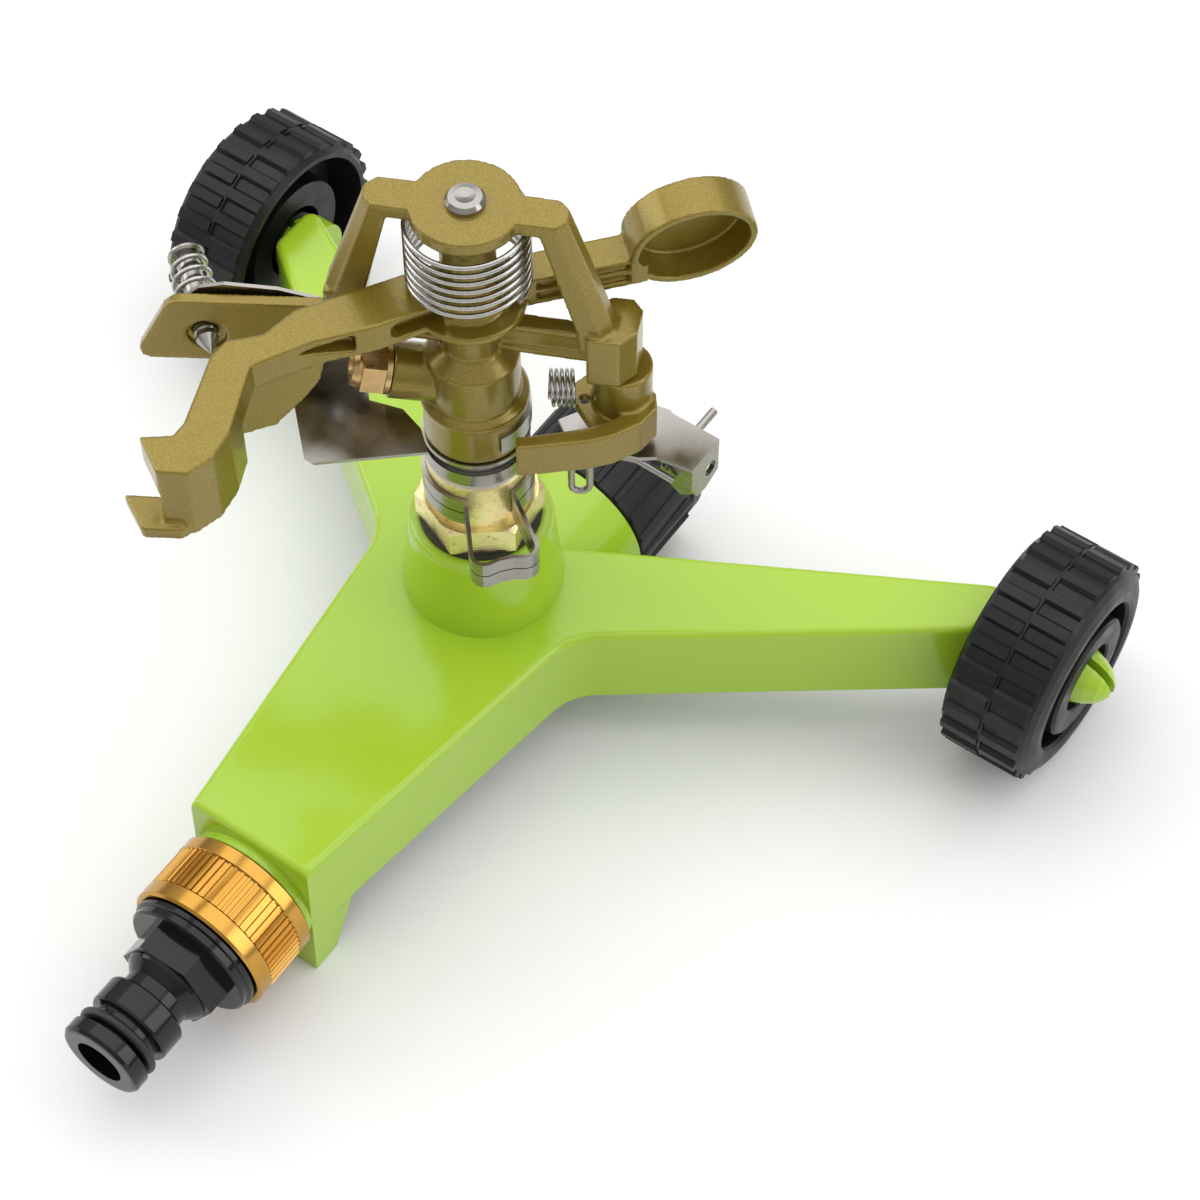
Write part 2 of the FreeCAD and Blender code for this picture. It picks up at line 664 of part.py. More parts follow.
def add_yoke(body):
    """Arch over the hammer: two raked legs, a top strap with a disc and a lower rail."""
    under = yoke_z - yoke_thick
    web = side_sketch(body, "rail_web_side", YOKE_ANGLE)
    outline(web, box_corners(-25.5, rail_low_z, 24.5, rail_high_z))
    add(body, "Pad", "rail_web", web, 1.8, both=True)
    for i, low in enumerate((rail_low_z, rail_high_z - 1.5)):
        flange = side_sketch(body, "rail_flange_side_%d" % i, YOKE_ANGLE)
        outline(flange, box_corners(-25.5, low, 24.5, low + 1.5))
        add(body, "Pad", "rail_flange_%d" % i, flange, 3.4, both=True)
    arch = side_sketch(body, "arch_side", YOKE_ANGLE)
    outline(arch, [
        (-18.6, yoke_z), (18.6, yoke_z), (27.2, 121.4), (27.2, rail_high_z - 3.0),
        (21.0, rail_high_z - 3.0), (20.4, 121.4), (13.9, under), (-13.9, under),
        (-19.0, 124.6), (-20.4, rail_high_z - 3.0), (-26.6, rail_high_z - 3.0),
        (-26.6, 124.6)])
    add(body, "Pad", "arch", arch, yoke_width, both=True)
    bevel_arch(body)
    disc = new_sketch(body, "disc_circle", "XY", (0, 0, under))
    circle(disc, 0.0, 0.0, yoke_disc_radius)
    add(body, "Pad", "disc", disc, yoke_thick)
    hook = side_sketch(body, "spring_stub_side", -55.0)
    outline(hook, box_corners(6.6, under - 3.4, 8.4, under + 0.5))
    add(body, "Pad", "spring_stub", hook, 1.8, both=True)
    foot = side_sketch(body, "left_foot_side", YOKE_ANGLE)
    outline(foot, box_corners(-27.0, rail_low_z - 1.0, -20.6, 123.6))
    add(body, "Pad", "left_foot", foot, yoke_width, both=True)


def bevel_arch(body):
    """Bevel the outer edges of the two legs and of the strap's ends."""
    doc.recompute()
    arch = body.Tip
    names = []
    turn = math.radians(YOKE_ANGLE)
    for i, edge in enumerate(arch.Shape.Edges):
        points = ends(edge)
        if len(points) < 2 or abs(points[0].z - points[1].z) < 15.0:
            continue
        middle = (points[0] + points[1]) * 0.5
        along = abs(middle.x * math.cos(turn) + middle.y * math.sin(turn))
        if along > 21.0:
            names.append("Edge%d" % (i + 1))
    bevel = body.newObject("PartDesign::Chamfer", "leg_bevel")
    bevel.Base = (arch, names)
    bevel.Size = 2.0


def add_trip_block(body):
    """Block at the foot of the right leg that carries the reversing lever."""
    turn = Rotation(Vector(0, 0, 1), YOKE_ANGLE)
    block = new_sketch(body, "block_plan", "XY", (0, 0, 108.4), turn)
    outline(block, [(22.4, -4.9), (28.4, -4.6), (31.4, -1.0), (31.6, 4.4), (29.4, 6.8),
                    (25.4, 6.6), (22.4, 3.6)])
    add(body, "Pad", "block", block, 12.6)


def add_screw_plate(body):
    """Upright plate beyond the left leg; a stub behind it carries the screw and the leaf."""
    side = side_sketch(body, "plate_side", PLATE_ANGLE, plate_depth)
    outline(side, [(22.0, 111.4), (26.0, 111.0), (31.0, 102.2), (61.2, 102.0), (62.8, 103.0),
                   (63.1, 105.0), (57.4, 116.6), (55.8, 118.3), (54.0, rail_high_z),
                   (22.0, rail_high_z)])
    add(body, "Pad", "plate", side, plate_thick, both=True)
    stub = side_sketch(body, "stub_circle", PLATE_ANGLE, plate_depth)
    circle(stub, screw_reach + 1.0, screw_z, leaf_stub_radius)
    add(body, "Pad", "leaf_stub", stub, 3.2)
    recess = side_sketch(body, "recess_circle", PLATE_ANGLE, plate_depth)
    circle(recess, screw_reach, screw_z, 3.8)
    add(body, "Pocket", "recess", recess, plate_thick)


def add_barrel(body):
    """Nozzle barrel that climbs toward the jet."""
    turn = nozzle_turn(JET_ANGLE, JET_RISE)
    barrel = new_sketch(body, "barrel_circle", "XY", (0, 0, 100.0), turn)
    circle(barrel, 0.0, 0.0, 5.6)
    add(body, "Pad", "barrel", barrel, 16.2)


def bore_head(body):
    bore = new_sketch(body, "head_bore_profile", "XZ")
    outline(bore, [(0.0, head_z - 1.0), (tube_radius, head_z - 1.0), (tube_radius, 99.2),
                   (4.2, 99.2), (4.2, 103.4), (0.0, 103.4)])
    spin(body, "Groove", "head_bore", bore)
    turn = nozzle_turn(JET_ANGLE, JET_RISE)
    jet = new_sketch(body, "jet_bore_circle", "XY", (0, 0, 100.0), turn)
    circle(jet, 0.0, 0.0, 3.4)
    add(body, "Pocket", "jet_bore", jet, 18.0, back=True)
    pin = new_sketch(body, "pin_bore_circle", "XY", (0, 0, yoke_z + 0.5))
    circle(pin, 0.0, 0.0, pin_radius)
    add(body, "Pocket", "pin_bore", pin, 36.5)
    trip = new_sketch(body, "trip_bore_circle", "XY", (0, 0, 108.0))
    circle(trip, trip_x, trip_y, trip_pin_radius)
    add(body, "Pocket", "trip_bore", trip, 10.0, back=True)
    x, y = screw_point(0.0)
    turn = Rotation(Vector(0, 1, 0), SCREW_ANGLE)
    plate = new_sketch(body, "screw_bore_circle", "XZ", (x, screw_z, -y), turn)
    circle(plate, 0.0, 0.0, screw_radius + 0.08)
    add(body, "Pocket", "screw_bore", plate, 24.0, both=True)


def make_nozzle():
    """Brass nozzle screwed into the barrel; its own Z axis is the jet."""
    body = turned("nozzle", [
        (1.9, 9.0), (3.3, 9.0), (3.3, 16.4), (5.0, 16.4), (5.0, 17.4), (4.2, 17.6), (4.2, 22.6),
        (3.8, 23.6), (2.6, 23.6), (1.9, 22.2)])
    flats = new_sketch(body, "nozzle_hex", "XY", (0, 0, 17.5))
    outline(flats, hexagon(4.7, 15.0))
    circle(flats, 0.0, 0.0, 1.9)
    add(body, "Pad", "nozzle_hex_pad", flats, 4.4)
    turn = nozzle_turn(JET_ANGLE, JET_RISE)
    finish_node(body, 0.0, 0.0, 100.0, turn)


def make_pivot_pin():
    finish_node(turned("pivot_pin", [
        (0.0, 114.0), (pin_radius, 114.0), (pin_radius, yoke_z), (3.7, yoke_z),
        (3.7, yoke_z + 0.9), (3.1, yoke_z + 1.7), (1.9, yoke_z + 1.9), (0.0, yoke_z + 1.3)]))


def make_head_clip():
    """Spring-steel strap round the side of the head skirt."""
    body = new_body("head_clip")
    plan = new_sketch(body, "clip_plan", "XY", (0, 0, 88.2))
    circle(plan, 0.0, 0.0, skirt_radius + 0.7)
    circle(plan, 0.0, 0.0, skirt_radius + 0.02)
    add(body, "Pad", "clip_ring", plan, 4.6)
    cut = new_sketch(body, "clip_cut_plan", "XY", (0, 0, 87.0))
    outline(cut, [(9.9, -5.0), (20.0, -5.0), (20.0, -20.0), (-20.0, -20.0), (-20.0, 20.0),
                  (4.0, 20.0), (4.0, 0.0)])
    add(body, "Pocket", "clip_cut", cut, 8.0, back=True)
    finish_node(body)


# ---------------------------------------------------------------- hammer arm

def make_arm():
    body = new_body("hammer_arm")
    height = arm_high_z - arm_low_z
    hub = turned_part(body, "hub", [
        (0.0, arm_low_z), (arm_hub_radius - 0.6, arm_low_z), (arm_hub_radius, arm_low_z + 0.6),
        (arm_hub_radius, arm_low_z + 2.0), (7.4, arm_low_z + 2.6), (6.4, arm_high_z + 0.4),
        (5.2, arm_high_z + 0.8), (5.2, yoke_z - yoke_thick - 0.6), (0.0, yoke_z - yoke_thick - 0.6)])
    plan = new_sketch(body, "arm_plan", "XY", (0, 0, arm_low_z))
    outline(plan, [
        (-4.4, 4.6), (-10.2, -5.0), (-21.7, -23.9), (-22.9, -31.6), (-27.4, -36.5),
        (-27.4, -41.2), (-21.8, -55.5), (-21.6, -58.7), (-26.3, -62.4), (-18.9, -66.8),
        (-14.2, -64.0), (-12.8, -58.4), (-13.8, -52.4), (-20.0, -38.6), (-14.6, -28.2),
        (-7.0, -18.6), (-1.8, -9.6), (4.4, -4.6)])
    add(body, "Pad", "arm", plan, height)
    add_arm_pockets(body)
    add_spoon(body)
    add_counterweight(body)
    bore = new_sketch(body, "arm_bore_circle", "XY", (0, 0, yoke_z))
    circle(bore, 0.0, 0.0, pin_radius + 0.08)
    add(body, "Pocket", "arm_bore", bore, 40.0)
    finish_node(body)


def turned_part(body, name, corners):
    sketch = new_sketch(body, name + "_profile", "XZ")
    outline(sketch, corners)
    return spin(body, "Revolution", name, sketch)


def add_arm_pockets(body):
    """Long recess beside the hub and a tapering one farther out, on the arm's front side."""
    near = side_sketch(body, "near_pocket_side", 237.0, -7.3)
    outline(near, [(6.8, arm_low_z + 1.8), (15.2, arm_low_z + 1.4), (16.6, arm_low_z + 2.4),
                   (16.6, arm_high_z - 2.2), (15.2, arm_high_z - 1.2), (6.8, arm_high_z - 1.2)])
    add(body, "Pocket", "near_pocket", near, 13.4, both=True)
    far = side_sketch(body, "far_pocket_side", 228.0, -9.0)
    outline(far, [(22.6, arm_low_z + 1.2), (34.4, arm_high_z - 2.6), (22.6, arm_high_z - 1.2)])
    add(body, "Pocket", "far_pocket", far, 9.0, both=True)


def add_spoon(body):
    """Jet spoon under the outer end and the inner vane under the elbow."""
    low = 110.5
    wall = new_sketch(body, "spoon_wall_plan", "XY", (0, 0, low))
    outline(wall, [(-18.9, -66.8), (-14.2, -64.0), (-12.8, -58.4), (-13.8, -52.4), (-16.8, -45.8),
                   (-19.6, -47.0), (-16.8, -53.2), (-15.9, -58.2), (-17.0, -62.0), (-20.4, -64.2)])
    add(body, "Pad", "spoon_wall", wall, arm_low_z - low)
    horn = new_sketch(body, "lower_horn_plan", "XY", (0, 0, low))
    outline(horn, [(-29.0, -66.0), (-21.4, -70.2), (-15.4, -66.4), (-13.2, -59.0),
                   (-14.2, -52.4), (-17.6, -50.6), (-20.6, -58.6), (-23.0, -62.4)])
    add(body, "Pad", "lower_horn", horn, 2.8)
    vane = side_sketch(body, "vane_side", 228.0, -6.6)
    outline(vane, [(28.6, arm_low_z), (29.8, 116.8), (32.4, 113.0), (38.6, 106.2), (45.6, 105.0),
                   (44.0, arm_low_z)])
    add(body, "Pad", "vane", vane, 2.6, both=True)


def add_counterweight(body):
    """Grooved rail and shallow tilted cup opposite the spoon."""
    rail = side_sketch(body, "counter_rail", COUNTER_ANGLE)
    outline(rail, box_corners(4.0, arm_low_z, 33.0, arm_high_z))
    add(body, "Pad", "counter_bar", rail, 7.0, both=True)
    for side in (-1, 1):
        for i, low in enumerate((arm_low_z + 1.1, arm_low_z + 4.0)):
            slot = side_sketch(body, "counter_slot_%d_%d" % (side + 1, i), COUNTER_ANGLE, 4.0 * side)
            outline(slot, box_corners(12.0, low, 29.4, low + 1.8))
            add(body, "Pocket", "counter_slot_cut_%d_%d" % (side + 1, i), slot, 3.4, both=True)
    turn = Rotation(Vector(0, 1, 0), COUNTER_ANGLE) * Rotation(Vector(1, 0, 0), CUP_TILT)
    angle = math.radians(COUNTER_ANGLE)
    centre = (cup_reach * math.cos(angle), cup_z, cup_reach * -math.sin(angle))
    cup = new_sketch(body, "cup_circle", "XZ", centre, turn)
    circle(cup, 0.0, 0.0, cup_radius)
    add(body, "Pad", "cup", cup, cup_depth, both=True)
    lift = turn.multVec(Vector(0, 0, cup_depth.value / 2))
    mouth = (centre[0] + lift.x, cup_z + lift.y, centre[2] + lift.z)
    well = new_sketch(body, "cup_well_circle", "XZ", mouth, turn)
    circle(well, 0.0, 0.0, cup_radius - 1.5)
    add(body, "Pocket", "cup_well", well, 5.9)


def make_coil(label, radius, wire, pitch, height, cone=0.0):
    """Wound wire along the piece's own Z axis, widening by the cone angle."""
    helix = doc.addObject("Part::Helix", label + "_path")
    bind(helix, "Radius", radius)
    helix.Pitch = pitch
    helix.Height = height
    helix.Angle = cone
    helix.SegmentLength = 1
    section = doc.addObject("Part::Circle", label + "_section")
    section.Radius = wire
    start = as_size(radius)
    section.Placement = Placement(Vector(start.value, 0, 0), Rotation(Vector(1, 0, 0), 90))
    section.setExpression(".Placement.Base.x", start.text)
    coil = doc.addObject("Part::Sweep", label)
    coil.Sections = [section]
    coil.Solid = True
    coil.Frenet = True
    doc.recompute()
    edges = ["Edge%d" % (i + 1) for i in range(len(helix.Shape.Edges))]
    coil.Spine = (helix, edges)
    return coil


def make_arm_spring():
    finish_node(make_coil("arm_spring", coil_radius, 0.5, 2.2, 16.2), 0.0, 0.0, 129.5)


# ---------------------------------------------------------------- jet breaker and deflector

def screw_point(along):
    """Plan position on the screw axis, measured from the plate's front face toward the tip."""
    plate = math.radians(PLATE_ANGLE)
    axis = math.radians(SCREW_ANGLE + 90.0)
    depth = plate_depth.value - plate_thick.value / 2
    reach = screw_reach.value
    x = reach * math.cos(plate) + depth * math.sin(plate) + along * math.cos(axis)
    y = reach * math.sin(plate) - depth * math.cos(plate) + along * math.sin(axis)
    return x, y


def screw_frame(along):
    """Place for a piece whose own Z axis is the screw."""
    x, y = screw_point(along)
    turn = Rotation(Vector(0, 0, 1), SCREW_ANGLE + 90.0) * Rotation(Vector(0, 1, 0), 90.0)
    return x, y, screw_z, turn


def make_screw():
    screw = turned("diffuser_screw", [
        (0.0, 0.0), (3.0, 0.0), (3.6, 0.5), (3.6, 1.0), (3.2, 1.4), (screw_radius, 1.4),
        (screw_radius, 20.2), (1.95, 20.5), (1.95, 20.8), (2.15, 21.1), (2.15, 21.8),
        (0.2, 25.2), (0.0, 25.2)])
    finish_node(screw, *screw_frame(-20.8))
    coil = make_coil("diffuser_spring", 3.2, 0.5, 3.1, 11.4, 4.6)
    finish_node(coil, *screw_frame(-18.6))


def make_deflector():
    """Bent stainless sheet: leaf behind the screw plate and a tray under the jet."""
    body = new_body("deflector_flap")
    leaf = side_sketch(body, "leaf_side", PLATE_ANGLE, leaf_depth)
    outline(leaf, [(21.0, 95.2), (35.0, 95.2), (37.0, 102.0), (54.4, 103.5), (56.0, 109.0),
                   (54.4, 116.0), (50.8, 119.3), (46.0, 120.4), (36.0, 119.4), (28.4, 117.0),
                   (28.4, 108.6), (21.0, 107.0)])
    add(body, "Pad", "leaf", leaf, 0.8, both=True)
    hole = side_sketch(body, "leaf_hole", PLATE_ANGLE, leaf_depth)
    circle(hole, screw_reach + 1.0, screw_z, leaf_stub_radius + 0.08)
    add(body, "Pocket", "leaf_hole_cut", hole, 6.0, both=True)
    turn = Rotation(Vector(0, 0, 1), PLATE_ANGLE)
    tray = new_sketch(body, "tray_plan", "XY", (0, 0, 95.2), turn)
    outline(tray, [(21.0, -4.2), (35.0, -4.2), (34.3, 3.6), (31.0, 17.2), (29.0, 18.6),
                   (7.8, 15.2), (9.5, 9.7), (13.3, 5.2), (19.8, 3.3)])
    add(body, "Pad", "tray", tray, 0.8)
    finish_node(body)


# ---------------------------------------------------------------- reversing mechanism

def make_trip_lever():
    """Lever that turns about the block and holds the curved stop blade."""
    body = turned("trip_lever", box_corners(0.0, 91.6, 5.7, 107.9))
    blade = new_sketch(body, "blade_plan", "XY", (0, 0, 91.6))
    outline(blade, [(5.4, -2.0), (5.6, 3.0), (8.0, 0.0), (7.6, -5.0), (5.0, -10.4), (1.6, -14.4),
                    (-4.8, -20.2), (-8.2, -23.0), (-9.8, -20.8), (-6.4, -17.6), (-0.6, -11.8),
                    (2.0, -8.0), (3.4, -4.6)])
    add(body, "Pad", "blade", blade, 8.6)
    floor = new_sketch(body, "floor_plan", "XY", (0, 0, 96.0))
    outline(floor, [(-9.6, -2.4), (-8.6, 1.6), (-5.0, 3.0), (3.0, 0.0), (2.4, -8.6),
                    (-1.6, -9.0), (-7.6, -6.0)])
    add(body, "Pad", "floor", floor, 1.6)
    hole = new_sketch(body, "spring_hole", "XY", (0, 0, 98.0))
    circle(hole, -5.6, -4.4, 0.9)
    add(body, "Pocket", "spring_hole_cut", hole, 4.0)
    bore = new_sketch(body, "lever_bore", "XY", (0, 0, 109.0))
    circle(bore, 0.0, 0.0, trip_pin_radius + 0.08)
    add(body, "Pocket", "lever_bore_cut", bore, 20.0)
    finish_node(body, trip_x, trip_y, 0.0)


def make_shifter():
    """Stainless bracket under the lever; its wire is pushed by the collar loops."""
    body = new_body("trip_shifter")
    top = new_sketch(body, "bracket_plan", "XY", (0, 0, 87.6))
    outline(top, [(-11.0, -5.6), (-8.0, -7.6), (2.0, -6.4), (7.0, -4.2), (9.6, -2.2), (16.9, -1.0),
                  (16.9, 8.2), (12.6, 7.8), (9.5, 7.4), (7.2, 7.6), (5.3, 8.6), (0.0, 7.6),
                  (-6.4, 3.0)])
    add(body, "Pad", "bracket_top", top, 1.0)
    end = new_sketch(body, "bracket_end", "YZ", (0, 0, 15.9))
    outline(end, [(-1.0, 88.6), (-1.0, 82.4), (1.1, 77.9), (4.0, 77.7), (8.2, 79.4), (8.2, 88.6)])
    add(body, "Pad", "bracket_end_pad", end, 1.0)
    ear = new_sketch(body, "bracket_ear", "XZ")
    outline(ear, [(9.8, 88.6), (9.8, 84.6), (11.6, 80.8), (14.4, 79.0), (16.9, 81.0),
                  (16.9, 88.6)])
    add(body, "Pad", "bracket_ear_pad", ear, 1.0)
    back = new_sketch(body, "bracket_back", "XZ", (0, 0, -8.2))
    outline(back, [(5.6, 88.6), (4.8, 82.0), (5.6, 79.6), (7.6, 78.4), (9.8, 78.8), (11.4, 80.4),
                   (12.6, 83.0), (16.9, 83.0), (16.9, 88.6)])
    add(body, "Pad", "bracket_back_pad", back, 1.0)
    bore = new_sketch(body, "shifter_bore", "XY", (0, 0, 90.0))
    circle(bore, 0.0, 0.0, trip_pin_radius + 0.08)
    add(body, "Pocket", "shifter_bore_cut", bore, 4.0)
    rivet = new_sketch(body, "rivet_hole", "XZ", (0, 0, -3.0))
    circle(rivet, 10.6, 84.6, 0.86)
    add(body, "Pocket", "rivet_hole_cut", rivet, 14.0, both=True)
    eye = new_sketch(body, "end_eye", "YZ", (0, 0, 14.0))
    circle(eye, 5.4, 82.4, 1.7)
    add(body, "Pocket", "end_eye_cut", eye, 4.0, back=True)
    finish_node(body, trip_x, trip_y, 0.0)


def make_trip_parts():
    make_trip_lever()
    make_shifter()
    bush = turned("trip_bush", box_corners(trip_pin_radius + 0.08, 88.7, 5.4, 91.5))
    finish_node(bush, trip_x, trip_y, 0.0)
    axle = turned("trip_axle", [
        (0.0, 85.8), (3.0, 85.8), (3.0, 87.4), (trip_pin_radius, 87.4), (trip_pin_radius, 118.0),
        (0.0, 118.0)])
    finish_node(axle, trip_x, trip_y, 0.0)
    pin = turned("trip_pin", box_corners(0.0, -3.0, 0.85, 14.3))
    finish_node(pin, trip_x + 10.6, trip_y + 1.6, 84.6, along_y(back=True))
    make_trip_wire()
    spring = make_coil("trip_spring", 3.4, 0.35, 1.0, 5.0)
    turn = Rotation(Vector(0, 0, 1), 35.0) * Rotation(Vector(0, 1, 0), 90.0)
    finish_node(spring, 14.1, 4.8, 102.0, turn)


def make_trip_wire():
    """Bent wire under the bracket: a hanging loop that meets the collar loops."""
    low = wire_low_z.value
    high = wire_high_z.value
    radius = wire_radius.value
    near, far = Vector(-2.6, -7.2, 0.0), Vector(-5.5, -9.2, 0.0)
    middle, half = (near + far) * 0.5, (near - far) * 0.5
    path = [Vector(13.2, -1.9, high - 3.4), Vector(6.0, -3.9, high), near + Vector(0, 0, high)]
    for degrees in range(0, 181, 30):
        turn = math.radians(degrees)
        lift = low + half.Length * (1.0 - math.sin(turn))
        path.append(middle + half * math.cos(turn) + Vector(0, 0, lift))
    path += [far + Vector(0, 0, high), Vector(-5.0, -5.6, high)]
    pieces = []
    for start, finish in zip(path, path[1:]):
        step = finish - start
        pieces.append(Part.makeCylinder(radius, step.Length, start, step))
        pieces.append(Part.makeSphere(radius, finish))
    wire = doc.addObject("Part::Feature", "trip_wire")
    wire.Shape = pieces[0].multiFuse(pieces[1:])
    finish_node(wire, trip_x, trip_y, 0.0)


# ---------------------------------------------------------------- whole sprinkler

def main():
    make_base()
    make_manifold()
    make_wheel("wheel_right", 1)
    make_wheel("wheel_left", -1)
    make_inlet()
    make_end_cap()
    make_bearing()
    make_collar("trip_collar_lower", collar_low_z)
    make_collar("trip_collar_upper", collar_low_z + strip_height + 0.3)
    make_head()
    make_head_clip()
    make_nozzle()
    make_pivot_pin()
    washer("hub_washer", pin_radius + 0.1, 6.2, neck_z + 0.1, arm_low_z - 0.1)
    make_arm()
    make_arm_spring()
    make_screw()
    make_deflector()
    make_trip_parts()
    doc.recompute()
    export()


def export():
    for thing in doc.Objects:
        for flag in thing.State:
            if flag in ("Invalid", "Error"):
                raise RuntimeError("%s is %s" % (thing.Name, flag))
    for thing in nodes:
        shape = thing.Shape
        if shape.isNull() or not shape.isValid():
            raise RuntimeError("bad shape in " + thing.Label)
        shape.exportStep(os.path.join("parts", thing.Label + ".step"))
        box = shape.BoundBox
        print("%-20s solids %d volume %9.1f  x %7.1f %7.1f  y %7.1f %7.1f  z %6.1f %6.1f" % (
            thing.Label, len(shape.Solids), shape.Volume, box.XMin, box.XMax, box.YMin, box.YMax,
            box.ZMin, box.ZMax))


main()
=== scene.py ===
import json
import math
import bpy
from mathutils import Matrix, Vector

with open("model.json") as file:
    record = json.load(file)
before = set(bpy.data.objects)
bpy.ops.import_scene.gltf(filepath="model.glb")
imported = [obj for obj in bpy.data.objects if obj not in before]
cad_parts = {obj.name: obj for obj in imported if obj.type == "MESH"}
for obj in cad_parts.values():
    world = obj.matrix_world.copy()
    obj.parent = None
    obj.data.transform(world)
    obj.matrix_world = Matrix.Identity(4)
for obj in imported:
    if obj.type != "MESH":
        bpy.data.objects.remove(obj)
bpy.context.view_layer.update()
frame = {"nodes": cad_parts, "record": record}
nodes = frame["nodes"]
scene = bpy.context.scene

# Lengths are in metres.
CAST_VOXEL = 0.00036
CAST_PASSES = 3
THICK_EDGE = 0.00035
MACHINED_EDGE = 0.00022
SHEET_EDGE = 0.00016
SHARP_ANGLE = math.radians(28.0)
FLOOR_SIZE = 6.0
FLOOR_DROP = 0.0002
SKY_STRENGTH = 0.95
LENS_MM = 99.27
SENSOR_MM = 36.0
CAMERA_PLACE = Vector((0.24415, -0.28430, 0.59049))
CAMERA_TARGET = Vector((0.02453, 0.02915, 0.03840))
STEEL = (0.360, 0.340, 0.315)


# ---------------------------------------------------------------- materials

class Shade:
    """A principled material that is built node by node."""

    def __init__(self, name, metallic=0.0, roughness=0.4, colour=(0.5, 0.5, 0.5)):
        self.material = bpy.data.materials.new(name)
        self.material.use_nodes = True
        self.tree = self.material.node_tree
        self.shader = self.tree.nodes["Principled BSDF"]
        self.shader.inputs["Metallic"].default_value = metallic
        self.shader.inputs["Roughness"].default_value = roughness
        self.shader.inputs["Base Color"].default_value = (*colour, 1.0)
        self.place = self.node("ShaderNodeTexCoord").outputs["Object"]

    def node(self, kind, **settings):
        made = self.tree.nodes.new(kind)
        for key, value in settings.items():
            if key in made.inputs:
                made.inputs[key].default_value = value
            else:
                setattr(made, key, value)
        return made

    def link(self, output, socket):
        self.tree.links.new(output, socket)

    def noise(self, scale, detail=2.0, roughness=0.5, stretch=None):
        texture = self.node("ShaderNodeTexNoise", Scale=scale, Detail=detail, Roughness=roughness)
        source = self.place
        if stretch:
            mapping = self.node("ShaderNodeMapping", Scale=stretch)
            self.link(source, mapping.inputs["Vector"])
            source = mapping.outputs["Vector"]
        self.link(source, texture.inputs["Vector"])
        return texture.outputs["Fac"]

    def ramp(self, source, stops):
        """Colour ramp from (position, colour) stops."""
        made = self.node("ShaderNodeValToRGB")
        elements = made.color_ramp.elements
        while len(elements) < len(stops):
            elements.new(0.5)
        for element, (position, colour) in zip(elements, stops):
            element.position = position
            element.color = (*colour, 1.0)
        self.link(source, made.inputs["Fac"])
        return made.outputs["Color"]

    def spread(self, source, low, high, start=0.3, end=0.7):
        """Turn a 0-1 pattern into values between low and high."""
        made = self.node("ShaderNodeMapRange")
        made.inputs["From Min"].default_value = start
        made.inputs["From Max"].default_value = end
        made.inputs["To Min"].default_value = low
        made.inputs["To Max"].default_value = high
        self.link(source, made.inputs["Value"])
        return made.outputs["Result"]

    def mix(self, factor, first, second):
        made = self.node("ShaderNodeMix", data_type="RGBA")
        self.link(factor, made.inputs["Factor"])
        for socket, value in ((made.inputs[6], first), (made.inputs[7], second)):
            if isinstance(value, tuple):
                socket.default_value = (*value, 1.0)
            else:
                self.link(value, socket)
        return made.outputs[2]

    def colour(self, output):
        self.link(output, self.shader.inputs["Base Color"])

    def roughness(self, output):
        self.link(output, self.shader.inputs["Roughness"])

    def bump(self, output, strength, distance):
        made = self.node("ShaderNodeBump", Strength=strength, Distance=distance)
        self.link(output, made.inputs["Height"])
        self.link(made.outputs["Normal"], self.shader.inputs["Normal"])


def glossy_green():
    shade = Shade("glossy_green", roughness=0.16)
    wide = shade.noise(9.0, 3.0)
    shade.colour(shade.ramp(wide, [(0.3, (0.348, 0.545, 0.024)), (0.7, (0.360, 0.560, 0.027))]))
    shade.roughness(shade.spread(shade.noise(60.0, 4.0), 0.17, 0.21))
    shade.bump(shade.noise(150.0, 2.0), 0.03, 0.0001)
    shade.shader.inputs["Coat Weight"].default_value = 0.15
    shade.shader.inputs["Coat Roughness"].default_value = 0.06
    return shade.material


def moulded_black(name, low, high, grain):
    shade = Shade(name)
    shade.shader.inputs["Specular IOR Level"].default_value = 0.35
    shade.colour(shade.ramp(shade.noise(25.0, 4.0), [(0.35, (0.0035, 0.0035, 0.0040)),
                                                     (0.75, (0.0080, 0.0080, 0.0088))]))
    shade.roughness(shade.spread(shade.noise(180.0, 3.0), low, high))
    shade.bump(shade.noise(grain, 2.0), 0.12, 0.0002)
    return shade.material


def bronze_paint():
    """Gold-brown metallic paint: dense fine flakes over a satin coat."""
    shade = Shade("bronze_paint", metallic=0.45)
    flake = shade.noise(4200.0, 2.0, 0.6)
    tone = shade.ramp(flake, [(0.30, (0.180, 0.126, 0.011)), (0.52, (0.240, 0.172, 0.016)),
                              (0.74, (0.330, 0.244, 0.030))])
    wear = shade.spread(shade.noise(38.0, 4.0), 0.0, 0.15, 0.45, 0.75)
    shade.colour(shade.mix(wear, tone, (0.205, 0.145, 0.017)))
    shade.roughness(shade.spread(flake, 0.36, 0.28))
    shade.bump(shade.noise(520.0, 3.0), 0.06, 0.0002)
    shade.shader.inputs["Coat Weight"].default_value = 0.35
    shade.shader.inputs["Coat Roughness"].default_value = 0.09
    return shade.material


def worn_brass():
    """Machined brass with dark specks and turning marks."""
    shade = Shade("worn_brass", metallic=1.0)
    specks = shade.noise(520.0, 5.0, 0.7)
    tone = shade.ramp(shade.noise(70.0, 4.0), [(0.30, (0.780, 0.620, 0.270)),
                                               (0.70, (0.960, 0.850, 0.480))])
    dark = shade.spread(specks, 0.0, 0.75, 0.59, 0.72)
    shade.colour(shade.mix(dark, tone, (0.130, 0.088, 0.026)))
    shade.roughness(shade.spread(specks, 0.20, 0.48))
    shade.bump(shade.noise(300.0, 3.0, 0.5, (1.0, 1.0, 9.0)), 0.35, 0.0002)
    return shade.material


